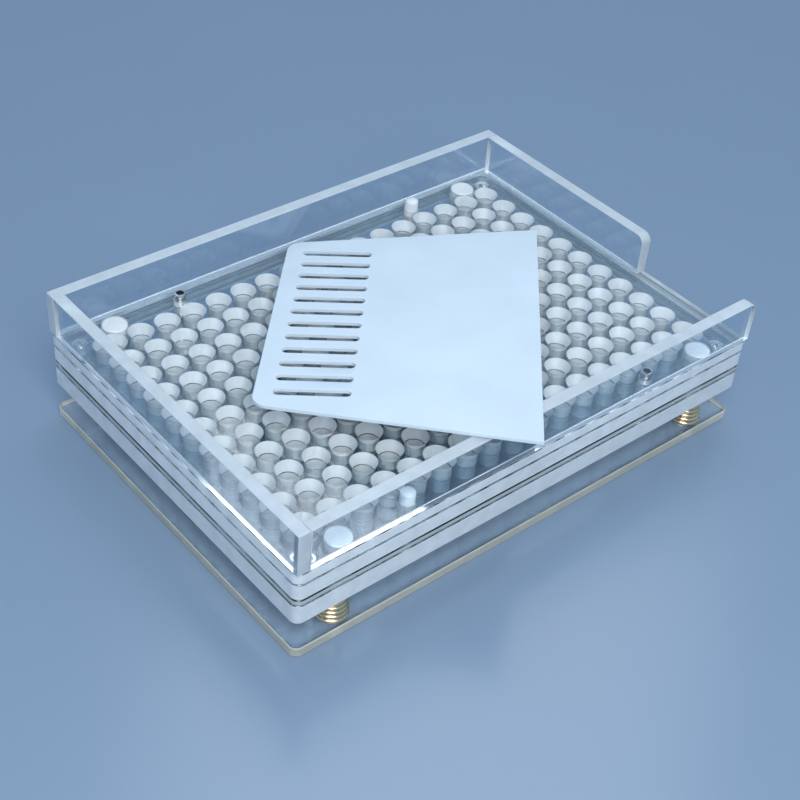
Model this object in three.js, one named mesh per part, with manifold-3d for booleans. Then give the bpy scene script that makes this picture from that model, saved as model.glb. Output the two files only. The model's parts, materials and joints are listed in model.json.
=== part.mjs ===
// Capsule filling board: a stack of clear acrylic plates drilled on one square
// grid, standing on four springs over a base plate, with a flat scraper leaning
// in the top tray. Millimetres, +Z up. The origin is the middle of the base
// plate's underside, +X runs along the board's long side.
import * as THREE from 'three';
import * as BufferGeometryUtils from 'three/addons/utils/BufferGeometryUtils.js';
import Module from 'manifold-3d';

// ---- driving dimensions ----

const holePitch = 10.5;
const holeColumns = 17;
const holeRows = 11;
const boreDiameter = 7.9;

const boardLength = 197;
const boardWidth = 139;
const boardCornerRadius = 3;

const baseThickness = 3.6;
const springGap = 11;
const bodyPlateThickness = 7.6;
const middlePlateThickness = 2;
const capPlateThickness = 6.2;
const trayPlateThickness = 4.2;
const plateGap = 0.3;
const pressTravel = 6;

const wallThickness = 4.4;
const wallHeight = 16;
const wallCornerRadius = 3.5;
const rightWallStart = -19.5;
const glueGap = 0.1;

const locatorDiameter = 4;
const pegDiameter = 5;
const postDiameter = 8.8;
const studDiameter = 4;
const springEdgeInset = 6.2;
const springEndInset = 18.3;
const screwHeadDiameter = 4.6;
const fitGap = 0.3;

const scraperLength = 90.5;
const scraperSlottedEnd = 103;
const scraperPlainEnd = 133;
const scraperThickness = 1.2;
const slotCount = 12;
const slotLength = 25;
const slotWidth = 3.6;

// ---- levels and places worked out from them ----

const baseTop = baseThickness;
const bodyBottom = baseTop + springGap;
const bodyTop = bodyBottom + bodyPlateThickness;
const middleBottom = bodyTop + plateGap;
const middleTop = middleBottom + middlePlateThickness;
const capBottom = middleTop + plateGap;
const capTop = capBottom + capPlateThickness;
const trayBottom = capTop + plateGap;
const trayTop = trayBottom + trayPlateThickness;
const wallBottom = trayTop + glueGap;
const wallTop = wallBottom + wallHeight;

// The fittings stand in two rows, between the holes and the long walls.
const fittingRow = 5.77 * holePitch;
const locatorColumn = 5 * holePitch;
const postColumn = 7.5 * holePitch;
const screwColumn = 8.5 * holePitch;

const locatorPlaces = [[-locatorColumn, fittingRow], [locatorColumn, -fittingRow]];
const pegPlaces = [[locatorColumn, fittingRow], [-locatorColumn, -fittingRow]];
const cornerPlaces = (column, row) => [
  [-column, -row],
  [column, -row],
  [column, row],
  [-column, row],
];
const postPlaces = cornerPlaces(postColumn, fittingRow);
const screwPlaces = cornerPlaces(screwColumn, fittingRow);
const springPlaces = cornerPlaces(boardLength / 2 - springEndInset, boardWidth / 2 - springEdgeInset);

// ---- finishes ----

const clearAcrylic = { color: 0xc9dceb, roughness: 0.1, metalness: 0 };
const tintedAcrylic = { color: 0x9da89a, roughness: 0.1, metalness: 0 };
const frostedAcrylic = { color: 0xe2edf6, roughness: 0.6, metalness: 0 };
const opalPlastic = { color: 0xc8def0, roughness: 0.5, metalness: 0 };
const polishedSteel = { color: 0xb8b8b8, roughness: 0.2, metalness: 1 };
const blackSteel = { color: 0x1c1c1e, roughness: 0.5, metalness: 1 };
const goldSpringSteel = { color: 0xd8c48e, roughness: 0.25, metalness: 1 };

const capsuleFiller = new THREE.Group();

function addPiece(name, geometry, finish, parent = capsuleFiller) {
  const mesh = new THREE.Mesh(geometry, new THREE.MeshStandardMaterial(finish));
  mesh.name = name;
  parent.add(mesh);
  return mesh;
}

// ---- outlines ----

// A rectangle with round corners, centred on the origin.
function roundedRectangle(length, width, radius) {
  const x = length / 2;
  const y = width / 2;
  const shape = new THREE.Shape();
  shape.absarc(x - radius, y - radius, radius, 0, Math.PI / 2);
  shape.absarc(radius - x, y - radius, radius, Math.PI / 2, Math.PI);
  shape.absarc(radius - x, radius - y, radius, Math.PI, 1.5 * Math.PI);
  shape.absarc(x - radius, radius - y, radius, 1.5 * Math.PI, 2 * Math.PI);
  return shape;
}

function gridPlaces() {
  const places = [];
  for (let row = 0; row < holeRows; row += 1) {
    for (let column = 0; column < holeColumns; column += 1) {
      const x = (column - (holeColumns - 1) / 2) * holePitch;
      const y = (row - (holeRows - 1) / 2) * holePitch;
      places.push([x, y]);
    }
  }
  return places;
}

function extrudeBetween(shape, bottom, top) {
  const options = { depth: top - bottom, bevelEnabled: false, curveSegments: 3 };
  return new THREE.ExtrudeGeometry(shape, options).translate(0, 0, bottom);
}

// ---- drilling ----

const wasm = await Module();
wasm.setup();

function toSolid(geometry) {
  const bare = geometry.clone();
  bare.deleteAttribute('normal');
  bare.deleteAttribute('uv');
  const merged = BufferGeometryUtils.mergeVertices(bare, 1e-4);
  const vertProperties = new Float32Array(merged.attributes.position.array);
  const triVerts = new Uint32Array(merged.index.array);
  return new wasm.Manifold(new wasm.Mesh({ numProp: 3, vertProperties, triVerts }));
}

function toGeometry(solid) {
  const mesh = solid.getMesh();
  const geometry = new THREE.BufferGeometry();
  geometry.setAttribute('position', new THREE.BufferAttribute(mesh.vertProperties, 3));
  geometry.setIndex(new THREE.BufferAttribute(mesh.triVerts, 1));
  geometry.computeVertexNormals();
  return geometry;
}

// The drills for one kind of hole. Each is turned by its own angle, so that the
// corners along a row never fall on one straight line.
const drillTurn = 2.4;
const drillOvershoot = 1;

function drills(places, diameter, sides, bottom, top) {
  const radius = diameter / 2 / Math.cos(Math.PI / sides);
  const middle = (bottom + top) / 2;
  const reach = top - bottom + 2 * drillOvershoot;
  const drill = new THREE.CylinderGeometry(radius, radius, reach, sides);
  drill.rotateX(Math.PI / 2);
  return places.map(([x, y], i) => drill.clone().rotateZ(i * drillTurn).translate(x, y, middle));
}

function drillThrough(plate, cutters) {
  const cutter = BufferGeometryUtils.mergeGeometries(cutters);
  return toGeometry(toSolid(plate).subtract(toSolid(cutter)));
}

// ---- plates ----

const capsuleHoleSides = 5;
const fittingSides = 10;

function basePlate() {
  const shape = roundedRectangle(boardLength, boardWidth, boardCornerRadius);
  const studDrills = drills(springPlaces, studDiameter + fitGap, fittingSides, 0, baseTop);
  return drillThrough(extrudeBetween(shape, 0, baseTop), studDrills);
}

// One of the drilled plates; each is opened for the fittings that pass through it.
function drilledPlate(bottom, top, holeDiameter, fittings) {
  const shape = roundedRectangle(boardLength, boardWidth, boardCornerRadius);
  const cutters = drills(gridPlaces(), holeDiameter, capsuleHoleSides, bottom, top);
  for (const [places, diameter] of fittings) {
    cutters.push(...drills(places, diameter + 2 * fitGap, fittingSides, bottom, top));
  }
  return drillThrough(extrudeBetween(shape, bottom, top), cutters);
}

const guides = [
  [locatorPlaces, locatorDiameter],
  [pegPlaces, pegDiameter],
  [postPlaces, postDiameter],
];

addPiece('base_plate', basePlate(), tintedAcrylic);
addPiece('body_plate', drilledPlate(bodyBottom, bodyTop, boreDiameter, guides), clearAcrylic);
addPiece('middle_plate', drilledPlate(middleBottom, middleTop, boreDiameter, guides), clearAcrylic);
const capFittings = [...guides, [screwPlaces, screwHeadDiameter]];
addPiece('cap_plate', drilledPlate(capBottom, capTop, boreDiameter, capFittings), clearAcrylic);
addPiece('tray_plate', drilledPlate(trayBottom, trayTop, boreDiameter, guides), clearAcrylic);

// ---- tray walls ----

// A wall standing on edge; either free end can have its top corner rounded.
function wallGeometry(length, roundedEnd) {
  const radius = roundedEnd ? wallCornerRadius : 0;
  const shape = new THREE.Shape();
  shape.moveTo(0, 0);
  shape.lineTo(length, 0);
  shape.lineTo(length, wallHeight - radius);
  if (roundedEnd) {
    shape.absarc(length - radius, wallHeight - radius, radius, 0, Math.PI / 2);
  }
  shape.lineTo(0, wallHeight);
  const options = { depth: wallThickness, bevelEnabled: false, curveSegments: 5 };
  return new THREE.ExtrudeGeometry(shape, options).rotateX(Math.PI / 2);
}

function addWall(name, [x, y], angle, length, roundedEnd) {
  const wall = addPiece(name, wallGeometry(length, roundedEnd), clearAcrylic);
  wall.position.set(x, y, wallBottom);
  wall.rotation.z = angle;
}

const halfLength = boardLength / 2;
const halfWidth = boardWidth / 2;
const wallSeat = wallThickness + glueGap;

addWall('tray_wall_back', [-halfLength, halfWidth], 0, boardLength, false);
addWall('tray_wall_front', [wallSeat - halfLength, wallThickness - halfWidth], 0, boardLength - wallSeat, true);
const leftWallPlace = [wallThickness - halfLength, halfWidth - wallSeat];
addWall('tray_wall_left', leftWallPlace, -Math.PI / 2, boardWidth - wallSeat, false);
// The right wall stops part way along, which leaves the pouring gap.
const rightWallLength = halfWidth - wallSeat - rightWallStart;
const rightWallPlace = [halfLength, halfWidth - wallSeat];
addWall('tray_wall_right', rightWallPlace, -Math.PI / 2, rightWallLength, true);

// ---- fittings ----

// A turned piece standing at a place; its profile is [radius, height] pairs.
function addTurned(name, [x, y], bottom, profile, finish, sides = fittingSides) {
  const points = profile.map(([radius, height]) => new THREE.Vector2(radius, height));
  const geometry = new THREE.LatheGeometry(points, sides).rotateX(Math.PI / 2);
  const mesh = addPiece(name, geometry, finish);
  mesh.position.set(x, y, bottom);
}

const locatorStandOut = 2.6;
const locatorLength = trayTop + locatorStandOut - bodyBottom;
const locatorChamfer = 0.5;
locatorPlaces.forEach((place, i) => {
  const radius = locatorDiameter / 2;
  const profile = [
    [0, 0],
    [radius, 0],
    [radius, locatorLength - locatorChamfer],
    [radius - locatorChamfer, locatorLength],
    [0, locatorLength],
  ];
  addTurned(`locating_pin_${i + 1}`, place, bodyBottom, profile, polishedSteel);
});

const pegStandOut = 4.5;
const pegLength = trayTop + pegStandOut - bodyBottom;
pegPlaces.forEach((place, i) => {
  const radius = pegDiameter / 2;
  const domeHeight = radius / 2;
  const profile = [
    [0, 0],
    [radius, 0],
    [radius, pegLength - domeHeight],
    [radius * 0.7, pegLength - domeHeight / 4],
    [0, pegLength],
  ];
  addTurned(`locating_peg_${i + 1}`, place, bodyBottom, profile, frostedAcrylic);
});

const postLength = trayTop - bodyBottom;
postPlaces.forEach((place, i) => {
  const radius = postDiameter / 2;
  const profile = [[0, 0], [radius, 0], [radius, postLength], [0, postLength]];
  addTurned(`guide_post_${i + 1}`, place, bodyBottom, profile, frostedAcrylic);
});

// A stud stands inside each spring, and stops the body plate at the end of its travel.
const studBottom = fitGap;
const studLength = bodyBottom - pressTravel - fitGap - studBottom;
springPlaces.forEach((place, i) => {
  const radius = studDiameter / 2;
  const profile = [[0, 0], [radius, 0], [radius, studLength], [0, studLength]];
  addTurned(`guide_stud_${i + 1}`, place, studBottom, profile, blackSteel);
});

// A flat-headed screw near each corner of the cap plate, under the tray.
const screwHeadHeight = 1.6;
const screwShankRadius = 1.5;
const screwLength = capPlateThickness - fitGap - plateGap;
screwPlaces.forEach((place, i) => {
  const head = screwHeadDiameter / 2;
  const profile = [
    [0, 0],
    [screwShankRadius, 0],
    [screwShankRadius, screwLength - screwHeadHeight],
    [head, screwLength - screwHeadHeight],
    [head, screwLength],
    [0, screwLength],
  ];
  addTurned(`cap_plate_screw_${i + 1}`, place, capBottom + fitGap, profile, polishedSteel);
});

// ---- springs ----

const springWire = 1.2;
const springTurns = 4;
const springStepsPerTurn = 9;
const springBaseRadius = 5.3;
const springTopRadius = 3.7;

// The centre line of a conical spring, from its wide foot up to its narrow top.
class SpringCurve extends THREE.Curve {
  getPoint(t, target = new THREE.Vector3()) {
    const angle = 2 * Math.PI * springTurns * t;
    const radius = THREE.MathUtils.lerp(springBaseRadius, springTopRadius, t);
    const climb = springGap - springWire - 2 * plateGap;
    return target.set(radius * Math.cos(angle), radius * Math.sin(angle), climb * t);
  }
}

function springGeometry() {
  const wire = new THREE.Shape();
  const wireSides = 4;
  for (let i = 0; i < wireSides; i += 1) {
    const angle = 2 * Math.PI * i / wireSides;
    const x = springWire / 2 * Math.cos(angle);
    const y = springWire / 2 * Math.sin(angle);
    if (i === 0) wire.moveTo(x, y);
    else wire.lineTo(x, y);
  }
  const steps = springTurns * springStepsPerTurn;
  return new THREE.ExtrudeGeometry(wire, { steps, extrudePath: new SpringCurve() });
}

springPlaces.forEach(([x, y], i) => {
  const spring = addPiece(`foot_spring_${i + 1}`, springGeometry(), goldSpringSteel);
  spring.position.set(x, y, baseTop + plateGap + springWire / 2);
});

// ---- scraper ----

const scraperCornerRadius = 6;
const slotMargin = 6;
const slotSpread = 88.6;
const scraperTurn = -43 * Math.PI / 180;
const scraperTilt = 6.64 * Math.PI / 180;
const scraperRest = [-37.9, 27.1];

// The flat plate widens from its slotted end to its plain end. Its own origin
// is the middle of the slotted edge, with x running towards the plain end.
function scraperShape() {
  const near = scraperSlottedEnd / 2;
  const far = scraperPlainEnd / 2;
  const flare = Math.atan2(far - near, scraperLength);
  const radius = scraperCornerRadius;
  const corner = near - radius * (1 - Math.sin(flare)) / Math.cos(flare);
  const shape = new THREE.Shape();
  shape.moveTo(scraperLength, -far);
  shape.lineTo(scraperLength, far);
  shape.absarc(radius, corner, radius, Math.PI / 2 + flare, Math.PI);
  shape.absarc(radius, -corner, radius, Math.PI, 1.5 * Math.PI - flare);
  return shape;
}

function slotDrill(y) {
  const radius = slotWidth / 2;
  const shape = new THREE.Shape();
  shape.absarc(slotMargin + radius, y, radius, Math.PI / 2, 1.5 * Math.PI);
  shape.absarc(slotMargin + slotLength - radius, y, radius, -Math.PI / 2, Math.PI / 2);
  return extrudeBetween(shape, -drillOvershoot, scraperThickness + drillOvershoot);
}

function scraperGeometry() {
  const cutters = [];
  for (let i = 0; i < slotCount; i += 1) {
    cutters.push(slotDrill((i / (slotCount - 1) - 0.5) * slotSpread));
  }
  return drillThrough(extrudeBetween(scraperShape(), 0, scraperThickness), cutters);
}

// It leans from the foot of the back wall up over the front wall's inner edge.
const scraperLean = new THREE.Group();
const frontWallInnerFace = wallThickness - halfWidth;
const reachToWall = scraperRest[1] - frontWallInnerFace;
const scraperHeight = wallTop + fitGap - reachToWall * Math.tan(scraperTilt);
scraperLean.position.set(...scraperRest, scraperHeight);
scraperLean.rotation.x = -scraperTilt;
const scraper = addPiece('scraper', scraperGeometry(), opalPlastic, scraperLean);
scraper.rotation.z = scraperTurn;
capsuleFiller.add(scraperLean);

export default capsuleFiller;
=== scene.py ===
"""Capsule filling board: clear drilled plates on sprung feet, a walled tray on top and a slotted scraper."""

import json
import math

import bmesh
import bpy
from bpy.props import FloatProperty, FloatVectorProperty, IntProperty, PointerProperty
from mathutils import Matrix, Vector


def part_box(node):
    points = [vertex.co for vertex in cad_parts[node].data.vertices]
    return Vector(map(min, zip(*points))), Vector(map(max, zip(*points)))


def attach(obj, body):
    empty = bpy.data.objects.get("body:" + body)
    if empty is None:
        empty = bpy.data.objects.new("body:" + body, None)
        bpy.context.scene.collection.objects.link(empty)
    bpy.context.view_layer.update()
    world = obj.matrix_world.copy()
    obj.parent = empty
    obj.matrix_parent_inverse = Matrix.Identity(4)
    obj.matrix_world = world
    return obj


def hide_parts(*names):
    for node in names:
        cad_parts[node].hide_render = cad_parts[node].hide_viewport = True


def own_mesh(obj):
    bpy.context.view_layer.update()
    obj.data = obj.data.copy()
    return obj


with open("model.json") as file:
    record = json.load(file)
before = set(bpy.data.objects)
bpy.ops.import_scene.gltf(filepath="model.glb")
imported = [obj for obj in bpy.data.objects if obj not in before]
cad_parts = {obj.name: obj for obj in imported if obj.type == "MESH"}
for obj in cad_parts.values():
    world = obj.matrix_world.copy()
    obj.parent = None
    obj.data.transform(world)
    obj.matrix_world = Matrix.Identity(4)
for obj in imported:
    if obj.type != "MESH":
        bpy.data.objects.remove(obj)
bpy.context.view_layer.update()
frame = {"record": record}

bl_info = {
    "name": "Capsule filling board",
    "version": (1, 0, 0),
    "blender": (4, 5, 0),
    "location": "View3D > Sidebar > Capsule filler",
    "description": "Builds a manual capsule filling board from its sizes and colours",
    "category": "Add Mesh",
}

MM = 0.001
SHARP_EDGE = math.radians(35)
SMOOTH_LIMIT = math.radians(20)


def linear(hex_colour):
    """The linear RGBA of an sRGB colour such as 0x88aacc."""
    parts = [(hex_colour >> shift & 255) / 255 for shift in (16, 8, 0)]
    curve = [c / 12.92 if c <= 0.04045 else ((c + 0.055) / 1.055) ** 2.4 for c in parts]
    return (*curve, 1.0)


# ---- sizes and colours that a user would change ----


def length(name, description, default):
    return FloatProperty(name=name, description=description, default=default, unit="LENGTH", precision=5)


def angle(name, description, degrees):
    return FloatProperty(name=name, description=description, default=math.radians(degrees), subtype="ANGLE")


def colour(name, description, hex_colour):
    return FloatVectorProperty(
        name=name, description=description, default=linear(hex_colour), subtype="COLOR", size=4, min=0, max=1
    )


class BoardSizes(bpy.types.PropertyGroup):
    pitch: length("Hole pitch", "Distance from one capsule hole to the next", 10.5 * MM)
    columns: IntProperty(name="Columns", description="Holes along the board", default=17, min=2)
    rows: IntProperty(name="Rows", description="Holes across the board", default=11, min=2)
    mouth: length("Mouth", "Width of the tray's funnels at the top", 9.6 * MM)
    throat: length("Throat", "Width of the tray's funnels at the bottom", 6.8 * MM)
    cap_bore: length("Cap bore", "Width of the cap plate's holes", 7 * MM)
    body_bore: length("Body bore", "Width of the body plate's holes", 6.7 * MM)
    corner: length("Corner radius", "Radius of the plates' corners", 3 * MM)
    wall_corner: length("Wall corner radius", "Radius of the walls' free top corners", 3.5 * MM)
    edge: length("Broken edge", "Width of the small flats along sawn edges", 0.3 * MM)


class FittingSizes(bpy.types.PropertyGroup):
    clearance: length("Clearance", "Gap around a piece that passes through a plate", 0.3 * MM)
    wire: length("Spring wire", "Thickness of the spring wire", 1.6 * MM)
    turns: FloatProperty(name="Spring turns", description="Turns of each foot spring", default=5.5, min=2)
    spring_foot: length("Spring foot", "Radius of a spring's lowest turn", 5.15 * MM)
    spring_top: length("Spring top", "Radius of a spring's highest turn", 3.6 * MM)
    socket: length("Screw socket", "Width of the socket in a screw's head", 2.4 * MM)


class ScraperSizes(bpy.types.PropertyGroup):
    depth: length("Length", "From the slotted end to the plain end", 90.5 * MM)
    slotted_end: length("Slotted end", "Width at the slotted end", 103 * MM)
    plain_end: length("Plain end", "Width at the plain end", 133 * MM)
    thickness: length("Thickness", "Thickness of the sheet", 1.2 * MM)
    corner: length("Corner radius", "Radius of the slotted end's corners", 6 * MM)
    slots: IntProperty(name="Slots", description="Number of slots", default=12, min=2)
    slot_length: length("Slot length", "Length of a slot", 25 * MM)
    slot_width: length("Slot width", "Width of a slot", 3.6 * MM)
    slot_margin: length("Slot margin", "From the slotted end to the slots", 6 * MM)
    slot_spread: length("Slot spread", "From the first slot to the last", 88.6 * MM)
    edge: length("Rounded edge", "Width of the rounding along the edges", 0.2 * MM)
    turn: angle("Turn", "How the scraper lies across the board", -43)
    tilt: angle("Tilt", "How steeply the scraper leans", 6.64)
    rest_x: length("Rest x", "Middle of the slotted end, along the board", -37.9 * MM)
    rest_y: length("Rest y", "Middle of the slotted end, across the board", 27.1 * MM)


class BoardColours(bpy.types.PropertyGroup):
    clear: colour("Clear sheet", "Tint of the clear acrylic", 0xF2F8FC)
    base: colour("Base sheet", "Tint of the base plate", 0xF4F6F8)
    sawn: colour("Sawn acrylic", "Frosted edges and hole walls", 0xEAF5FC)
    wall_edge: colour("Wall edge", "Sawn faces of the tray's walls", 0xDCE9F2)
    middle_edge: colour("Middle edge", "Sawn faces of the middle plate", 0xD3DFE2)
    base_edge: colour("Base edge", "Frosted edge of the base plate", 0xE8EADC)
    opal: colour("Opal sheet", "The scraper", 0xD9EAF6)
    steel: colour("Polished steel", "Pins and screws", 0xECEDEE)
    black: colour("Black steel", "Guide studs", 0x1B1B1E)
    gold: colour("Gold wire", "Foot springs", 0xEAD6B0)
    glue: colour("Glue film", "Dark part of the glued seams", 0x1E2838)
    floor: colour("Floor", "The surface that the board stands on", 0x778DA5)
    sky: colour("Sky", "The soft light from all round", 0xB8D4F2)


class StudioSettings(bpy.types.PropertyGroup):
    heading: angle("Heading", "Camera's heading, from +Y towards +X", 43.064)
    pitch: angle("Pitch", "How far the camera looks down", 39.696)
    roll: angle("Roll", "How far the camera leans to its left", 5.455)
    sky_strength: FloatProperty(name="Sky", description="Strength of the light all round", default=0.72, min=0)
    key_power: FloatProperty(name="Key lamp", description="Power in watts", default=7, min=0)
    fill_power: FloatProperty(name="Fill lamp", description="Power in watts", default=1.5, min=0)
    lens: FloatProperty(name="Lens", description="Focal length in millimetres", default=68.27, min=10)
    place: FloatVectorProperty(
        name="Camera place", description="Where the camera stands", default=(-0.28367, -0.30304, 0.35099),
        subtype="TRANSLATION", unit="LENGTH", size=3, precision=5,
    )


# ---- node helpers ----


def add_node(tree, kind, settings=None, inputs=None):
    """Adds a node; an input is given a value, or a socket to link from."""
    node = tree.nodes.new(kind)
    for name, value in (settings or {}).items():
        setattr(node, name, value)
    for name, value in (inputs or {}).items():
        socket = node.inputs[name]
        if isinstance(value, bpy.types.NodeSocket):
            tree.links.new(value, socket)
        else:
            socket.default_value = value
    return node


def maths(tree, operation, *values):
    """The output of a Math node."""
    return add_node(tree, "ShaderNodeMath", {"operation": operation}, dict(enumerate(values))).outputs[0]


# ---- materials ----


def new_material(name):
    """A material with an empty tree, its coordinates and its output."""
    material = bpy.data.materials.new(name)
    material.use_nodes = True
    tree = material.node_tree
    tree.nodes.clear()
    coordinates = add_node(tree, "ShaderNodeTexCoord").outputs["Object"]
    output = add_node(tree, "ShaderNodeOutputMaterial")
    return material, tree, coordinates, output


def noise(tree, vector, size, detail=3.0):
    """A cloudy pattern whose patches are about that size, from 0 to 1."""
    values = {"Vector": vector, "Scale": 1 / size, "Detail": detail}
    return add_node(tree, "ShaderNodeTexNoise", None, values).outputs["Fac"]


def between(tree, value, low, high):
    """Spreads the middle of a pattern over a range of values."""
    values = {"Value": value, "From Min": 0.3, "From Max": 0.7, "To Min": low, "To Max": high}
    return add_node(tree, "ShaderNodeMapRange", None, values).outputs["Result"]


def bumped(tree, height, distance, strength=1.0):
    values = {"Height": height, "Distance": distance, "Strength": strength}
    return add_node(tree, "ShaderNodeBump", None, values).outputs["Normal"]


def mixed_colour(tree, share, first, second):
    node = add_node(tree, "ShaderNodeMix", {"data_type": "RGBA"}, {"Factor": share})
    node.inputs[6].default_value = first
    node.inputs[7].default_value = second
    return node.outputs[2]


def stretched(tree, vector, scale):
    """Coordinates squeezed along an axis, which draws a pattern out into lines."""
    return add_node(tree, "ShaderNodeMapping", None, {"Vector": vector, "Scale": scale}).outputs["Vector"]


def shaded(colour_value, factor):
    return (*(c * factor for c in colour_value[:3]), 1.0)


ACRYLIC_IOR = 1.49


def clear_acrylic(name, tint):
    """Cast acrylic sheet, polished: clear with a hard gloss, faint wiping smears and the slight
    ripple of cast sheet. Lamps reach through it, so that what is under it stays lit."""
    material, tree, coordinates, output = new_material(name)
    smears = noise(tree, coordinates, 14 * MM, 4)
    ripple = noise(tree, coordinates, 30 * MM, 1)
    glass = add_node(tree, "ShaderNodeBsdfPrincipled", None, {
        "Base Color": tint,
        "Roughness": between(tree, smears, 0.0, 0.06),
        "IOR": ACRYLIC_IOR,
        "Transmission Weight": 1.0,
        "Normal": bumped(tree, ripple, 0.15 * MM),
    })
    open_glass = add_node(tree, "ShaderNodeBsdfTransparent", None, {"Color": shaded(tint, 0.88)})
    lamps = add_node(tree, "ShaderNodeLightPath").outputs["Is Shadow Ray"]
    add_node(tree, "ShaderNodeMixShader", None, {
        0: lamps, 1: glass.outputs[0], 2: open_glass.outputs[0],
    })
    tree.links.new(tree.nodes[-1].outputs[0], output.inputs["Surface"])
    return material


def sawn_acrylic(name, tint, clearness, grit):
    """Acrylic as the saw, drill or abrasive leaves it: white frost over a clear body, with fine
    tool lines round the cut and thinner frost in patches."""
    material, tree, coordinates, output = new_material(name)
    frost = noise(tree, coordinates, 5 * MM, 5)
    lines = noise(tree, stretched(tree, coordinates, (1.0, 1.0, 9.0)), grit, 3)
    surface = add_node(tree, "ShaderNodeBsdfPrincipled", None, {
        "Base Color": mixed_colour(tree, between(tree, frost, 0, 1), shaded(tint, 0.86), tint),
        "Roughness": between(tree, frost, 0.42, 0.62),
        "IOR": ACRYLIC_IOR,
        "Transmission Weight": clearness,
        "Normal": bumped(tree, lines, 0.06 * MM, 0.5),
    })
    tree.links.new(surface.outputs[0], output.inputs["Surface"])
    return material


def opal_acrylic(name, tint):
    """Opal sheet, moulded with a satin face: milky and even, with faint clouds and fine
    scratches along the way that it is drawn over the tray."""
    material, tree, coordinates, output = new_material(name)
    clouds = noise(tree, coordinates, 25 * MM, 3)
    along = add_node(tree, "ShaderNodeMapping", None, {
        "Vector": coordinates, "Rotation": (0, 0, math.radians(43)), "Scale": (0.06, 1, 1),
    }).outputs["Vector"]
    scratches = noise(tree, along, 0.8 * MM, 4)
    surface = add_node(tree, "ShaderNodeBsdfPrincipled", None, {
        "Base Color": mixed_colour(tree, between(tree, clouds, 0, 1), shaded(tint, 0.93), tint),
        "Roughness": between(tree, scratches, 0.34, 0.5),
        "IOR": 1.5,
        "Transmission Weight": 0.15,
        "Subsurface Weight": 0.25,
        "Subsurface Radius": (1.0, 1.0, 1.0),
        "Subsurface Scale": 0.8 * MM,
        "Normal": bumped(tree, scratches, 0.02 * MM, 0.6),
    })
    tree.links.new(surface.outputs[0], output.inputs["Surface"])
    return material


def turned_metal(name, tint, roughness, line):
    """Metal with the fine rings or drawn lines that the tool or die leaves, which break its
    reflections into thin streaks."""
    material, tree, coordinates, output = new_material(name)
    rings = noise(tree, stretched(tree, coordinates, (0.3, 0.3, 1.0)), line, 4)
    tarnish = noise(tree, coordinates, 3 * MM, 2)
    surface = add_node(tree, "ShaderNodeBsdfPrincipled", None, {
        "Base Color": mixed_colour(tree, between(tree, tarnish, 0, 1), shaded(tint, 0.8), tint),
        "Metallic": 1.0,
        "Roughness": between(tree, rings, roughness * 0.7, roughness * 1.4),
        "Normal": bumped(tree, rings, 0.02 * MM, 0.6),
    })
    tree.links.new(surface.outputs[0], output.inputs["Surface"])
    return material


def glue_film(name, dark):
    """Solvent cement in a seam: a dark wet line with thin air bubbles trapped in it, whose silver glint is
    painted in as pale patches: a painted reflection.
    """
    material, tree, coordinates, output = new_material(name)
    bubbles = noise(tree, coordinates, 2.2 * MM, 5)
    # Painted reflection: pale patches in the base colour stand in for the glint of the trapped air bubbles.
    painted_bubble_glint = between(tree, bubbles, -1.0, 1.2)
    surface = add_node(tree, "ShaderNodeBsdfPrincipled", None, {
        "Base Color": mixed_colour(tree, painted_bubble_glint, dark, linear(0xD5DFE8)),
        "Roughness": between(tree, bubbles, 0.08, 0.3),
        "IOR": 1.45,
        "Normal": bumped(tree, bubbles, 0.1 * MM),
    })
    tree.links.new(surface.outputs[0], output.inputs["Surface"])
    return material


def floor_paint(name, tint):
    """A smooth painted board: plain and pale, with a soft sheen and the faintest unevenness."""
    material, tree, coordinates, output = new_material(name)
    uneven = noise(tree, coordinates, 90 * MM, 3)
    surface = add_node(tree, "ShaderNodeBsdfPrincipled", None, {
        "Base Color": mixed_colour(tree, between(tree, uneven, 0, 1), shaded(tint, 0.98), tint),
        "Roughness": between(tree, uneven, 0.2, 0.24),
    })
    tree.links.new(surface.outputs[0], output.inputs["Surface"])
    return material


MATERIAL_MAKERS = {
    "clear cast acrylic, polished": lambda name, tints: clear_acrylic(name, tints.clear),
    "tinted cast acrylic, polished": lambda name, tints: clear_acrylic(name, tints.base),
    "clear acrylic, sawn": lambda name, tints: sawn_acrylic(name, tints.sawn, 0.32, 0.5 * MM),
    "wall acrylic, sawn": lambda name, tints: sawn_acrylic(name, tints.wall_edge, 0.4, 0.5 * MM),
    "thin clear acrylic, sawn": lambda name, tints: sawn_acrylic(name, tints.middle_edge, 0.4, 0.5 * MM),
    "tinted acrylic, sawn": lambda name, tints: sawn_acrylic(name, tints.base_edge, 0.5, 0.5 * MM),
    "acrylic rod, sanded": lambda name, tints: sawn_acrylic(name, tints.sawn, 0.15, 0.3 * MM),
    "opal acrylic, satin moulded": lambda name, tints: opal_acrylic(name, tints.opal),
    "stainless steel, turned and polished":
        lambda name, tints: turned_metal(name, tints.steel, 0.2, 0.2 * MM),
    "carbon steel, black oxide": lambda name, tints: turned_metal(name, tints.black, 0.4, 0.3 * MM),
    "spring wire, gold passivated": lambda name, tints: turned_metal(name, tints.gold, 0.2, 0.25 * MM),
    "acrylic cement, set in a seam": lambda name, tints: glue_film(name, tints.glue),
    "painted board, satin": lambda name, tints: floor_paint(name, tints.floor),
}


def finish(name):
    """The material of that name, made the first time that it is asked for."""
    made = bpy.data.materials.get(name)
    return made or MATERIAL_MAKERS[name](name, bpy.context.scene.board_colours)


# ---- geometry trees ----

LENGTH, WHOLE, ANGLE, MATERIAL = (
    "NodeSocketFloat", "NodeSocketInt", "NodeSocketFloat", "NodeSocketMaterial",
)
PLACES = {
    "Columns": (WHOLE, 2), "Rows": (WHOLE, 2), "Spacing X": (LENGTH, 0.01), "Spacing Y": (LENGTH, 0.01),
    "Turn": (ANGLE, 0.0),
}


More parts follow.
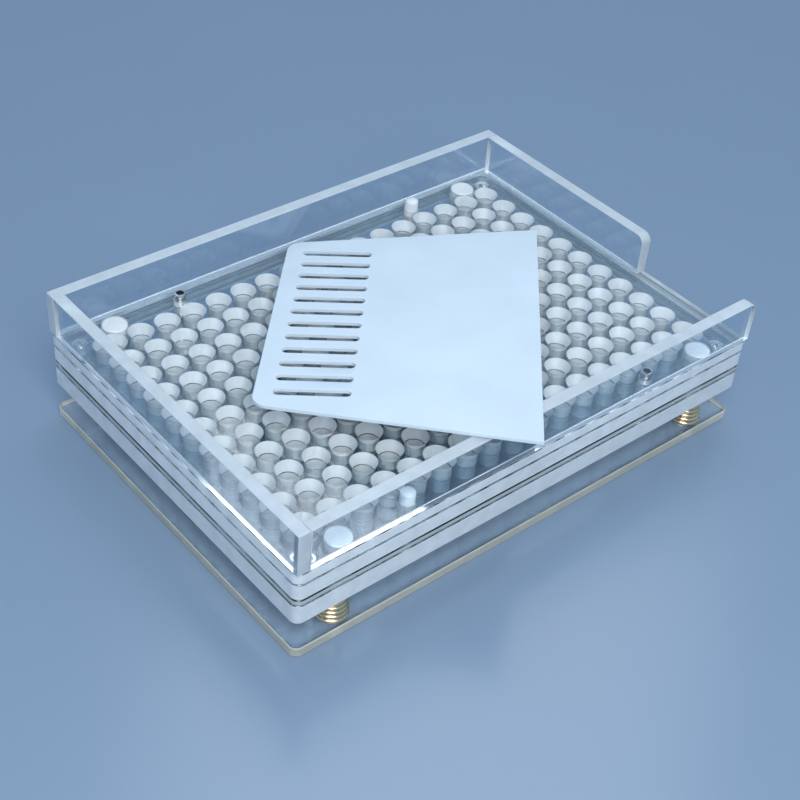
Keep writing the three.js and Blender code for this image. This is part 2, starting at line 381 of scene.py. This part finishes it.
def new_tree(name, inputs):
    """An empty geometry tree with named inputs; gives it and its input sockets."""
    tree = bpy.data.node_groups.new(name, "GeometryNodeTree")
    tree.interface.new_socket("Geometry", in_out="INPUT", socket_type="NodeSocketGeometry")
    for label, (kind, default) in inputs.items():
        socket = tree.interface.new_socket(label, in_out="INPUT", socket_type=kind)
        if default is not None:
            socket.default_value = default
    tree.interface.new_socket("Geometry", in_out="OUTPUT", socket_type="NodeSocketGeometry")
    return tree, add_node(tree, "NodeGroupInput").outputs


def close_tree(tree, geometry):
    add_node(tree, "NodeGroupOutput", None, {0: geometry})
    return tree


def vector_of(tree, x=0.0, y=0.0, z=0.0):
    return add_node(tree, "ShaderNodeCombineXYZ", None, {"X": x, "Y": y, "Z": z}).outputs[0]


def shared_tree(name, build):
    """The tree of that name, built the first time that it is asked for."""
    return bpy.data.node_groups.get(name) or build(name)


def copies_at_places(tree, given, shape):
    """Copies of a shape at every place of a grid, made real."""
    span_x = maths(tree, "MULTIPLY", maths(tree, "SUBTRACT", given["Columns"], 1), given["Spacing X"])
    span_y = maths(tree, "MULTIPLY", maths(tree, "SUBTRACT", given["Rows"], 1), given["Spacing Y"])
    grid = add_node(tree, "GeometryNodeMeshGrid", None, {
        "Size X": span_x, "Size Y": span_y, "Vertices X": given["Columns"], "Vertices Y": given["Rows"],
    }).outputs[0]
    turned = add_node(tree, "GeometryNodeTransform", None, {
        "Geometry": grid, "Rotation": vector_of(tree, z=given["Turn"]),
    }).outputs[0]
    copies = add_node(tree, "GeometryNodeInstanceOnPoints", None, {"Points": turned, "Instance": shape})
    return add_node(tree, "GeometryNodeRealizeInstances", None, {"Geometry": copies.outputs[0]}).outputs[0]


def subtracted(tree, solid, cutter):
    node = add_node(tree, "GeometryNodeMeshBoolean", {"operation": "DIFFERENCE", "solver": "MANIFOLD"})
    tree.links.new(solid, node.inputs["Mesh 1"])
    tree.links.new(cutter, node.inputs["Mesh 2"])
    return node.outputs["Mesh"]


def sheet_finished(tree, geometry, given):
    """Polished where it faces up or down by more than the limit, and sawn on every other face."""
    normal = add_node(tree, "GeometryNodeInputNormal").outputs[0]
    rise = add_node(tree, "ShaderNodeSeparateXYZ", None, {0: normal}).outputs["Z"]
    cut = add_node(tree, "FunctionNodeCompare", {"operation": "LESS_THAN"}, {
        0: maths(tree, "ABSOLUTE", rise), 1: given["Polish Limit"],
    }).outputs[0]
    real = add_node(tree, "GeometryNodeRealizeInstances", None, {"Geometry": geometry}).outputs[0]
    polished = add_node(tree, "GeometryNodeSetMaterial", None, {
        "Geometry": real, "Material": given["Polished"],
    }).outputs[0]
    return add_node(tree, "GeometryNodeSetMaterial", None, {
        "Geometry": polished, "Selection": cut, "Material": given["Sawn"],
    }).outputs[0]


def drilling_tree(name):
    """Drills a grid of straight or tapered holes through a sheet."""
    tree, given = new_tree(name, PLACES | {
        "Top": (LENGTH, 0.01), "Bottom": (LENGTH, 0.0), "Top Width": (LENGTH, 0.005),
        "Bottom Width": (LENGTH, 0.005), "Sides": (WHOLE, 32), "Polish Limit": (LENGTH, 0.5),
        "Polished": (MATERIAL, None), "Sawn": (MATERIAL, None),
    })
    drill = add_node(tree, "GeometryNodeMeshCone", None, {
        "Vertices": given["Sides"],
        "Radius Top": maths(tree, "DIVIDE", given["Top Width"], 2.0),
        "Radius Bottom": maths(tree, "DIVIDE", given["Bottom Width"], 2.0),
        "Depth": maths(tree, "SUBTRACT", given["Top"], given["Bottom"]),
    }).outputs[0]
    placed = add_node(tree, "GeometryNodeTransform", None, {
        "Geometry": drill, "Translation": vector_of(tree, z=given["Bottom"]),
    }).outputs[0]
    cutter = copies_at_places(tree, given, placed)
    return close_tree(tree, sheet_finished(tree, subtracted(tree, given["Geometry"], cutter), given))


def slotting_tree(name):
    """Cuts a row of round-ended slots through a flat sheet."""
    tree, given = new_tree(name, PLACES | {
        "Start": (LENGTH, 0.0), "Slot Length": (LENGTH, 0.02), "Slot Width": (LENGTH, 0.002),
        "Thickness": (LENGTH, 0.001), "Polished": (MATERIAL, None),
    })
    outline = add_node(tree, "GeometryNodeCurvePrimitiveQuadrilateral", None, {
        "Width": given["Slot Length"], "Height": given["Slot Width"],
    }).outputs[0]
    rounded = add_node(tree, "GeometryNodeFilletCurve", {"mode": "POLY"}, {
        "Curve": outline, "Count": 8, "Limit Radius": True,
        "Radius": maths(tree, "MULTIPLY", given["Slot Width"], 0.499),
    }).outputs[0]
    face = add_node(tree, "GeometryNodeFillCurve", {"mode": "NGONS"}, {"Curve": rounded}).outputs[0]
    height = maths(tree, "MULTIPLY", given["Thickness"], 3.0)
    raised = add_node(tree, "GeometryNodeExtrudeMesh", None, {
        "Mesh": face, "Offset Scale": height, "Individual": False,
    }).outputs[0]
    foot = add_node(tree, "GeometryNodeFlipFaces", None, {"Mesh": face}).outputs[0]
    both = add_node(tree, "GeometryNodeJoinGeometry")
    tree.links.new(raised, both.inputs[0])
    tree.links.new(foot, both.inputs[0])
    closed = add_node(tree, "GeometryNodeMergeByDistance", None, {"Geometry": both.outputs[0]}).outputs[0]
    middle = maths(tree, "ADD", given["Start"], maths(tree, "DIVIDE", given["Slot Length"], 2.0))
    copies = copies_at_places(tree, given, closed)
    cutter = add_node(tree, "GeometryNodeTransform", None, {
        "Geometry": copies, "Translation": vector_of(tree, x=middle, z=maths(tree, "DIVIDE", height, -3.0)),
    }).outputs[0]
    cut = subtracted(tree, given["Geometry"], cutter)
    real = add_node(tree, "GeometryNodeRealizeInstances", None, {"Geometry": cut}).outputs[0]
    return close_tree(tree, add_node(tree, "GeometryNodeSetMaterial", None, {
        "Geometry": real, "Material": given["Polished"],
    }).outputs[0])


def copying_tree(name):
    """Sets a copy of the piece at every place of a grid."""
    tree, given = new_tree(name, PLACES | {"Material": (MATERIAL, None)})
    copies = copies_at_places(tree, given, given["Geometry"])
    return close_tree(tree, add_node(tree, "GeometryNodeSetMaterial", None, {
        "Geometry": copies, "Material": given["Material"],
    }).outputs[0])


def coiling_tree(name):
    """Winds a tapered spring at every place of a grid."""
    tree, given = new_tree(name, PLACES | {
        "Turns": (LENGTH, 6.0), "Foot Radius": (LENGTH, 0.005), "Top Radius": (LENGTH, 0.004),
        "Height": (LENGTH, 0.01), "Wire": (LENGTH, 0.001), "Level": (LENGTH, 0.0),
        "Material": (MATERIAL, None),
    })
    line = add_node(tree, "GeometryNodeCurveSpiral", None, {
        "Resolution": 36, "Rotations": given["Turns"], "Start Radius": given["Foot Radius"],
        "End Radius": given["Top Radius"], "Height": given["Height"],
    }).outputs[0]
    section = add_node(tree, "GeometryNodeCurvePrimitiveCircle", None, {
        "Resolution": 20, "Radius": maths(tree, "DIVIDE", given["Wire"], 2.0),
    }).outputs[0]
    coil = add_node(tree, "GeometryNodeCurveToMesh", None, {
        "Curve": line, "Profile Curve": section, "Fill Caps": True,
    }).outputs[0]
    seated = add_node(tree, "GeometryNodeTransform", None, {
        "Geometry": coil, "Translation": vector_of(tree, z=given["Level"]),
    }).outputs[0]
    copies = copies_at_places(tree, given, seated)
    return close_tree(tree, add_node(tree, "GeometryNodeSetMaterial", None, {
        "Geometry": copies, "Material": given["Material"],
    }).outputs[0])


def seam_tree(name):
    """Lays a flat, uneven ribbon of glue along each edge line that it is given."""
    tree, given = new_tree(name, {
        "Width": (LENGTH, 0.001), "Height": (LENGTH, 0.0001), "Wander": (LENGTH, 0.0004),
        "Seed": (LENGTH, 3.0), "Material": (MATERIAL, None),
    })
    lines = add_node(tree, "GeometryNodeMeshToCurve", None, {"Mesh": given["Geometry"]}).outputs[0]
    fine = add_node(tree, "GeometryNodeResampleCurve", {"mode": "LENGTH"}, {
        "Curve": lines, "Length": 0.8 * MM,
    }).outputs[0]
    place = add_node(tree, "GeometryNodeInputPosition").outputs[0]
    values = {"Vector": place, "W": given["Seed"], "Scale": 1 / (4 * MM), "Detail": 3.0}
    waves = add_node(tree, "ShaderNodeTexNoise", {"noise_dimensions": "4D"}, values)
    centred = add_node(tree, "ShaderNodeVectorMath", {"operation": "SUBTRACT"}, {
        0: waves.outputs["Color"], 1: (0.5, 0.5, 0.5),
    }).outputs[0]
    sway = add_node(tree, "ShaderNodeVectorMath", {"operation": "MULTIPLY"}, {
        0: centred, 1: vector_of(tree, given["Wander"], given["Wander"]),
    }).outputs[0]
    moved = add_node(tree, "GeometryNodeSetPosition", None, {"Geometry": fine, "Offset": sway}).outputs[0]
    values["W"] = maths(tree, "ADD", given["Seed"], 7.0)
    swell = add_node(tree, "ShaderNodeTexNoise", {"noise_dimensions": "4D"}, values).outputs["Fac"]
    section = add_node(tree, "GeometryNodeCurvePrimitiveQuadrilateral", None, {
        "Width": given["Width"], "Height": given["Height"],
    }).outputs[0]
    ribbon = add_node(tree, "GeometryNodeCurveToMesh", None, {
        "Curve": moved, "Profile Curve": section, "Fill Caps": True,
        "Scale": between(tree, swell, 0.35, 1.0),
    }).outputs[0]
    real = add_node(tree, "GeometryNodeRealizeInstances", None, {"Geometry": ribbon}).outputs[0]
    return close_tree(tree, add_node(tree, "GeometryNodeSetMaterial", None, {
        "Geometry": real, "Material": given["Material"],
    }).outputs[0])


def run_tree(piece, name, build, sizes):
    """Adds a tree to a piece as a modifier and sets its inputs by their sockets' identifiers."""
    modifier = piece.modifiers.new(name, "NODES")
    modifier.node_group = shared_tree(name, build)
    for item in modifier.node_group.interface.items_tree:
        if item.in_out == "INPUT" and item.name in sizes:
            modifier[item.identifier] = sizes[item.name]


# ---- mesh helpers ----


def new_piece(name, shape):
    """An object at the origin from a bmesh, with its faces pointing outwards."""
    bmesh.ops.recalc_face_normals(shape, faces=shape.faces)
    mesh = bpy.data.meshes.new(name)
    shape.to_mesh(mesh)
    shape.free()
    piece = bpy.data.objects.new(name, mesh)
    bpy.context.scene.collection.objects.link(piece)
    return piece


def extruded(outline, low, high, place=lambda x, y, z: (x, y, z)):
    """A closed prism over a flat outline of (x, y) points."""
    shape = bmesh.new()
    foot = [shape.verts.new(place(x, y, low)) for x, y in outline]
    head = [shape.verts.new(place(x, y, high)) for x, y in outline]
    shape.faces.new(foot)
    shape.faces.new(head)
    for i in range(len(outline)):
        j = (i + 1) % len(outline)
        shape.faces.new((foot[i], foot[j], head[j], head[i]))
    return shape


def arc(x, y, radius, start, end, steps=8):
    """Points along an arc, its angles in degrees."""
    angles = [math.radians(start + (end - start) * i / steps) for i in range(steps + 1)]
    return [(x + radius * math.cos(a), y + radius * math.sin(a)) for a in angles]


def rounded_rectangle(low, high, radius):
    left, right, front, back = low.x + radius, high.x - radius, low.y + radius, high.y - radius
    corners = ((right, back, 0), (left, back, 90), (left, front, 180), (right, front, 270))
    return [point for x, y, start in corners for point in arc(x, y, radius, start, start + 90)]


def turned(profile, x=0.0, y=0.0, sides=40):
    """A closed solid of revolution standing at (x, y) from (radius, height) points."""
    shape = bmesh.new()
    rings = []
    for radius, height in profile:
        if radius == 0:
            rings.append([shape.verts.new((x, y, height))] * sides)
            continue
        turns = [2 * math.pi * i / sides for i in range(sides)]
        ring = [(x + radius * math.cos(t), y + radius * math.sin(t), height) for t in turns]
        rings.append([shape.verts.new(point) for point in ring])
    for lower, upper in zip(rings, rings[1:]):
        for i in range(sides):
            j = (i + 1) % sides
            corners = [lower[i], lower[j], upper[j], upper[i]]
            shape.faces.new(list(dict.fromkeys(corners)))
    return shape


def break_edges(piece, width, segments=2):
    """Small flats along the sharp edges."""
    bevel = piece.modifiers.new("Broken edges", "BEVEL")
    bevel.width = width
    bevel.segments = segments
    bevel.limit_method = "ANGLE"
    bevel.angle_limit = SHARP_EDGE
    return bevel


def make_plain(piece):
    """Applies a piece's modifiers, and gives its new mesh."""
    bpy.context.view_layer.update()
    depsgraph = bpy.context.evaluated_depsgraph_get()
    built = bpy.data.meshes.new_from_object(piece.evaluated_get(depsgraph), depsgraph=depsgraph)
    piece.modifiers.clear()
    piece.data = built
    return built


def settle(piece, body, slot, *nodes):
    """Turns a piece into a plain mesh, smooth except at its corners, and ties it to its body."""
    built = make_plain(piece)
    built.name = piece.name
    built.shade_smooth()
    built.set_sharp_from_angle(angle=SMOOTH_LIMIT)
    if nodes:
        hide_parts(*nodes)
    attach(piece, body)


def numbered(name, count):
    return [f"{name}_{i + 1}" for i in range(count)]


def middle_of(node):
    low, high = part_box(node)
    return (low + high) / 2


def corner_places(node):
    """The grid of four places that mirrors a node about both middle lines of the board."""
    middle = middle_of(node)
    return {"Columns": 2, "Rows": 2, "Spacing X": 2 * abs(middle.x), "Spacing Y": 2 * abs(middle.y)}


def diagonal_places(node):
    """The pair of places that a node and its opposite take on one diagonal."""
    middle = middle_of(node)
    across = math.hypot(middle.x, middle.y)
    turn = math.atan2(middle.y, middle.x)
    return {"Columns": 2, "Rows": 1, "Spacing X": 2 * across, "Turn": turn}


def width_of(node):
    low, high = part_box(node)
    return max(high.x - low.x, high.y - low.y)


# ---- pieces ----


def build_sheet(name, node, corner, polished, sawn, holes):
    """A flat sheet with sawn edges, drilled with each kind of hole."""
    low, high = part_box(node)
    sheet = new_piece(name, extruded(rounded_rectangle(low, high, corner), low.z, high.z))
    break_edges(sheet, bpy.context.scene.board_sizes.edge, 1)
    overshoot = 1 * MM
    for hole in holes:
        reach = {"Bottom": low.z - overshoot, "Top": high.z + overshoot}
        finishes = {"Polished": finish(polished), "Sawn": finish(sawn)}
        run_tree(sheet, "Drilled grid", drilling_tree, reach | hole | finishes)
    return sheet


class BuildPlates(bpy.types.Operator):
    """Builds the base plate and the four drilled plates"""
    bl_idname = "capsule_filler.plates"
    bl_label = "Plates"

    def execute(self, context):
        sizes = context.scene.board_sizes
        gap = 2 * context.scene.fitting_sizes.clearance

        def passing(places, node):
            width = width_of(node) + gap
            return places | {"Top Width": width, "Bottom Width": width}

        posts = passing(corner_places("guide_post_1"), "guide_post_1")
        pins = passing(diagonal_places("locating_pin_1"), "locating_pin_1")
        pegs = passing(diagonal_places("locating_peg_1"), "locating_peg_1")
        screws = passing(corner_places("cap_plate_screw_1"), "cap_plate_screw_1")
        studs = passing(corner_places("guide_stud_1"), "guide_stud_1")
        grid = {
            "Columns": sizes.columns, "Rows": sizes.rows, "Spacing X": sizes.pitch, "Spacing Y": sizes.pitch,
        }

        def bore(top, bottom):
            return grid | {"Top Width": top, "Bottom Width": bottom}

        polished, sawn = "clear cast acrylic, polished", "clear acrylic, sawn"
        base = build_sheet("base_sheet", "base_plate", sizes.corner,
                           "tinted cast acrylic, polished", "tinted acrylic, sawn",
                           [studs | {"Polish Limit": 0.95}])
        settle(base, "base", "tinted_acrylic", "base_plate")
        plates = (
            ("body", "body_plate", sawn, bore(sizes.body_bore, sizes.body_bore), []),
            ("middle", "middle_plate", "thin clear acrylic, sawn", bore(sizes.body_bore, sizes.body_bore), []),
            ("cap", "cap_plate", sawn, bore(sizes.cap_bore, sizes.cap_bore), [screws]),
            ("tray", "tray", sawn, bore(sizes.mouth, sizes.throat), []),
        )
        for name, body, edge, bores, extra in plates:
            node = f"{name}_plate"
            holes = [bores, posts, pins, pegs, *extra]
            sheet = build_sheet(f"{name}_sheet", node, sizes.corner, polished, edge, holes)
            settle(sheet, body, "clear_acrylic", node)
        return {"FINISHED"}


def build_wall(node, along, rounded_end):
    """A wall on edge, clear on its wide faces; rounded_end is 1 or -1 for a rounded free corner."""
    sizes = bpy.context.scene.board_sizes
    low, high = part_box(node)
    across = 1 - along
    start, end, foot, head = low[along], high[along], low.z, high.z
    radius = sizes.wall_corner
    if rounded_end == 1:
        round_top = arc(end - radius, head - radius, radius, 0, 90)
        outline = [(start, foot), (end, foot), *round_top, (start, head)]
    elif rounded_end == -1:
        round_top = arc(start + radius, head - radius, radius, 90, 180)
        outline = [(end, foot), (end, head), *round_top, (start, foot)]
    else:
        outline = [(start, foot), (end, foot), (end, head), (start, head)]

    def place(u, z, thickness):
        return (u, thickness, z) if along == 0 else (thickness, u, z)

    name = node.replace("tray_wall", "wall_sheet")
    wall = new_piece(name, extruded(outline, low[across], high[across], place))
    wall.data.materials.append(finish("clear cast acrylic, polished"))
    wall.data.materials.append(finish("wall acrylic, sawn"))
    # The wide faces are polished, and the cement leaves the foot as clear as they are.
    for face in wall.data.polygons:
        clear = abs(face.normal[across]) > 0.9 or face.normal.z < -0.9
        face.material_index = 0 if clear else 1
    break_edges(wall, sizes.edge).material = 1
    settle(wall, "tray", "clear_acrylic", node)


class BuildWalls(bpy.types.Operator):
    """Builds the tray's four walls and the glued seams under them"""
    bl_idname = "capsule_filler.walls"
    bl_label = "Tray walls"

    def execute(self, context):
        walls = {
            "tray_wall_back": (0, 0),
            "tray_wall_front": (0, 1),
            "tray_wall_left": (1, 0),
            "tray_wall_right": (1, -1),
        }
        seam_lines = bmesh.new()
        inset = 1.3 * MM
        seam_level = (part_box("tray_plate")[1].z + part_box("tray_wall_back")[0].z) / 2
        for node, (along, rounded_end) in walls.items():
            build_wall(node, along, rounded_end)
            low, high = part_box(node)
            across = 1 - along
            for side in (low[across] + inset, high[across] - inset):
                ends = []
                for end in (low[along] + inset, high[along] - inset):
                    point = Vector((0, 0, seam_level))
                    point[along] = end
                    point[across] = side
                    ends.append(seam_lines.verts.new(point))
                seam_lines.edges.new(ends)
        seams = new_piece("glue_seams", seam_lines)
        seam_width, film, wander = 1.7 * MM, 0.08 * MM, 1.0 * MM
        run_tree(seams, "Glue seam", seam_tree, {
            "Width": seam_width, "Height": film, "Wander": wander,
            "Material": finish("acrylic cement, set in a seam"),
        })
        settle(seams, "tray", "clear_acrylic")
        return {"FINISHED"}


class BuildFittings(bpy.types.Operator):
    """Builds the locating pins and pegs, the guide posts and their studs"""
    bl_idname = "capsule_filler.fittings"
    bl_label = "Pins, pegs, posts and studs"

    def execute(self, context):
        # A pin is bored at its end, with a rounded rim.
        low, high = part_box("locating_pin_1")
        radius = width_of("locating_pin_1") / 2
        bore, bore_depth, bore_taper = radius * 0.68, 5 * MM, 0.1 * MM
        rim_drop, rim_bend, rim_width = 0.5 * MM, 0.15 * MM, 0.4 * MM
        pin = [
            (0, low.z), (radius, low.z), (radius, high.z - rim_drop),
            (radius - rim_bend, high.z - rim_bend), (radius - rim_width, high.z),
            (bore, high.z), (bore - bore_taper, high.z - bore_depth), (0, high.z - bore_depth),
        ]
        self.set_out("locating_pins", pin, diagonal_places("locating_pin_1"), "polished_steel",
                     "stainless steel, turned and polished", numbered("locating_pin", 2))

        low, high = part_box("locating_peg_1")
        radius = width_of("locating_peg_1") / 2
        dome = [(radius * math.cos(a), high.z - radius * 0.5 * (1 - math.sin(a)))
                for a in (math.radians(15 * i) for i in range(6))]
        peg = [(0, low.z), (radius, low.z), *dome, (0, high.z)]
        self.set_out("locating_pegs", peg, diagonal_places("locating_peg_1"), "frosted_acrylic",
                     "acrylic rod, sanded", numbered("locating_peg", 2))

        low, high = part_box("guide_post_1")
        radius = width_of("guide_post_1") / 2
        edge = context.scene.board_sizes.edge
        post = [
            (0, low.z), (radius - edge, low.z), (radius, low.z + edge),
            (radius, high.z - edge), (radius - edge, high.z), (0, high.z),
        ]
        self.set_out("guide_posts", post, corner_places("guide_post_1"), "frosted_acrylic",
                     "acrylic rod, sanded", numbered("guide_post", 4))

        # A stud has a fine rolled thread from the base plate up.
        low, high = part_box("guide_stud_1")
        radius = width_of("guide_stud_1") / 2
        thread_pitch, thread_depth = 0.7 * MM, 0.25 * MM
        threads = int((high.z - low.z) / thread_pitch) - 1
        stud = [(0, low.z), (radius - thread_depth, low.z)]
        for i in range(threads):
            level = low.z + (i + 0.5) * thread_pitch
            stud += [(radius, level), (radius - thread_depth, level + thread_pitch / 2)]
        stud += [(radius - thread_depth, high.z), (0, high.z)]
        self.set_out("guide_studs", stud, corner_places("guide_stud_1"), "black_steel",
                     "carbon steel, black oxide", numbered("guide_stud", 4))
        return {"FINISHED"}

    def set_out(self, name, profile, places, slot, material, nodes):
        """Turns one piece and sets its copies at the nodes' places."""
        piece = new_piece(name, turned(profile))
        run_tree(piece, "Copies at places", copying_tree, places | {"Material": finish(material)})
        body = next(b for b, members in frame["record"]["behaviour"]["bodies"].items() if nodes[0] in members)
        settle(piece, body, slot, *nodes)


class BuildScrews(bpy.types.Operator):
    """Builds the four socket screws of the cap plate"""
    bl_idname = "capsule_filler.screws"
    bl_label = "Screws"

    def execute(self, context):
        low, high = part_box("cap_plate_screw_1")
        head = width_of("cap_plate_screw_1") / 2
        shank, head_height, head_bevel = 1.5 * MM, 1.6 * MM, 0.3 * MM
        head_floor = high.z - head_height
        socket, socket_depth, drill_point = context.scene.fitting_sizes.socket / 2, 1.2 * MM, 0.3 * MM
        socket_floor = high.z - socket_depth
        thread_pitch, thread_root = 0.5 * MM, shank * 0.85
        threads = int((head_floor - low.z) / thread_pitch)
        profile = [(0, low.z)]
        for i in range(threads):
            level = low.z + i * thread_pitch
            profile += [(thread_root, level), (shank, level + thread_pitch / 2)]
        profile += [
            (shank, head_floor), (head, head_floor), (head, high.z - head_bevel), (head - head_bevel, high.z),
            (socket, high.z), (socket, socket_floor), (0, socket_floor - drill_point),
        ]
        screws = new_piece("cap_screws", turned(profile, sides=30))
        run_tree(screws, "Copies at places", copying_tree, corner_places("cap_plate_screw_1") | {
            "Material": finish("stainless steel, turned and polished"),
        })
        settle(screws, "cap_plate", "polished_steel", *numbered("cap_plate_screw", 4))
        return {"FINISHED"}


class BuildSprings(bpy.types.Operator):
    """Builds the four tapered foot springs"""
    bl_idname = "capsule_filler.springs"
    bl_label = "Foot springs"

    def execute(self, context):
        sizes = context.scene.fitting_sizes
        low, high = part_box("foot_spring_1")
        height = high.z - low.z
        springs = new_piece("spring_coils", bmesh.new())
        run_tree(springs, "Coils at places", coiling_tree, corner_places("guide_stud_1") | {
            "Turns": sizes.turns, "Wire": sizes.wire, "Height": height - sizes.wire,
            "Foot Radius": sizes.spring_foot, "Top Radius": sizes.spring_top, "Level": low.z + sizes.wire / 2,
            "Material": finish("spring wire, gold passivated"),
        })
        settle(springs, "base", "gold_spring_steel", *numbered("foot_spring", 4))
        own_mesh(springs)
        return {"FINISHED"}


class BuildScraper(bpy.types.Operator):
    """Builds the slotted scraper, leaning in the tray"""
    bl_idname = "capsule_filler.scraper"
    bl_label = "Scraper"

    def execute(self, context):
        sizes = context.scene.scraper_sizes
        near, far = sizes.slotted_end / 2, sizes.plain_end / 2
        flare = math.atan2(far - near, sizes.depth)
        radius = sizes.corner
        corner = near - radius * (1 - math.sin(flare)) / math.cos(flare)
        tilt = math.degrees(flare)
        outline = [
            (sizes.depth, -far), (sizes.depth, far),
            *arc(radius, corner, radius, 90 + tilt, 180),
            *arc(radius, -corner, radius, 180, 270 - tilt),
        ]
        sheet = new_piece("scraper_sheet", extruded(outline, 0, sizes.thickness))
        opal = finish("opal acrylic, satin moulded")
        run_tree(sheet, "Slotted sheet", slotting_tree, {
            "Columns": 1, "Rows": sizes.slots, "Spacing Y": sizes.slot_spread / (sizes.slots - 1),
            "Start": sizes.slot_margin, "Slot Length": sizes.slot_length, "Slot Width": sizes.slot_width,
            "Thickness": sizes.thickness, "Polished": opal,
        })
        break_edges(sheet, sizes.edge)
        mesh = make_plain(sheet)
        lean = Matrix.Rotation(-sizes.tilt, 4, "X") @ Matrix.Rotation(sizes.turn, 4, "Z")
        mesh.transform(Matrix.Translation((sizes.rest_x, sizes.rest_y, 0)) @ lean)
        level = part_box("scraper")[1].z
        top = max(v.co.z for v in mesh.vertices)
        mesh.transform(Matrix.Translation((0, 0, level - top)))
        settle(sheet, "scraper", "opal_plastic", "scraper")
        return {"FINISHED"}


def soft_lamp(name, place, target, size, power, tint=(1, 1, 1)):
    """A square softbox turned towards a point."""
    lamp = bpy.data.lights.new(name, "AREA")
    lamp.size = size
    lamp.energy = power
    lamp.color = tint
    holder = bpy.data.objects.new(name, lamp)
    holder.location = place
    holder.rotation_euler = (Vector(target) - Vector(place)).to_track_quat("-Z", "Y").to_euler()
    bpy.context.scene.collection.objects.link(holder)


class BuildStudio(bpy.types.Operator):
    """Sets the floor, the soft light and the camera"""
    bl_idname = "capsule_filler.studio"
    bl_label = "Studio"

    def execute(self, context):
        scene = context.scene
        settings = scene.studio_settings
        half, thickness = 3.0, 0.01
        top = -0.1 * MM
        outline = [(-half, -half), (half, -half), (half, half), (-half, half)]
        floor = new_piece("floor", extruded(outline, top - thickness, top))
        floor.data.materials.append(finish("painted board, satin"))

        world = bpy.data.worlds.new("studio")
        world.use_nodes = True
        background = world.node_tree.nodes["Background"]
        background.inputs["Color"].default_value = context.scene.board_colours.sky
        background.inputs["Strength"].default_value = settings.sky_strength
        scene.world = world
        centre = (0, 0, 0.03)
        soft_lamp("key", (-0.33, -0.52, 0.66), centre, 0.5, settings.key_power, (1.0, 0.96, 0.91))
        soft_lamp("fill", (0.35, 0.3, 0.8), centre, 0.5, settings.fill_power)

        heading, pitch, roll = settings.heading, settings.pitch, settings.roll
        ahead = Vector((
            math.sin(heading) * math.cos(pitch), math.cos(heading) * math.cos(pitch), -math.sin(pitch),
        ))
        level = Vector((math.cos(heading), -math.sin(heading), 0))
        rise = level.cross(ahead)
        right = level * math.cos(roll) + rise * math.sin(roll)
        up = right.cross(ahead)
        camera = bpy.data.objects.new("camera", bpy.data.cameras.new("camera"))
        axes = Matrix((right, up, -ahead)).transposed().to_4x4()
        camera.matrix_world = Matrix.Translation(settings.place) @ axes
        camera.data.lens = settings.lens
        camera.data.sensor_width = 36
        camera.data.clip_start = 0.01
        scene.collection.objects.link(camera)
        scene.camera = camera

        scene.view_settings.view_transform = "Standard"
        # Light has to pass through five clear sheets, two faces each, and come back.
        scene.cycles.max_bounces = 28
        scene.cycles.transmission_bounces = 26
        scene.cycles.transparent_max_bounces = 48
        return {"FINISHED"}


class CapsuleFillerPanel(bpy.types.Panel):
    bl_idname = "VIEW3D_PT_capsule_filler"
    bl_label = "Capsule filling board"
    bl_space_type = "VIEW_3D"
    bl_region_type = "UI"
    bl_category = "Capsule filler"

    def draw(self, context):
        for operator in OPERATORS:
            self.layout.operator(operator.bl_idname)
        for group in SETTINGS:
            settings = getattr(context.scene, group)
            for name in settings.bl_rna.properties.keys():
                if name not in ("rna_type", "name"):
                    self.layout.prop(settings, name)


OPERATORS = (
    BuildPlates, BuildWalls, BuildFittings, BuildScrews, BuildSprings, BuildScraper, BuildStudio,
)
SETTINGS = {
    "board_sizes": BoardSizes,
    "fitting_sizes": FittingSizes,
    "scraper_sizes": ScraperSizes,
    "board_colours": BoardColours,
    "studio_settings": StudioSettings,
}


def register():
    for cls in (*SETTINGS.values(), *OPERATORS, CapsuleFillerPanel):
        bpy.utils.register_class(cls)
    for name, cls in SETTINGS.items():
        setattr(bpy.types.Scene, name, PointerProperty(type=cls))


def unregister():
    for name in SETTINGS:
        delattr(bpy.types.Scene, name)
    for cls in reversed((*SETTINGS.values(), *OPERATORS, CapsuleFillerPanel)):
        bpy.utils.unregister_class(cls)


def main():
    register()
    for operator in OPERATORS:
        group, name = operator.bl_idname.split(".")
        getattr(getattr(bpy.ops, group), name)()


if __name__ == "__main__":
    main()
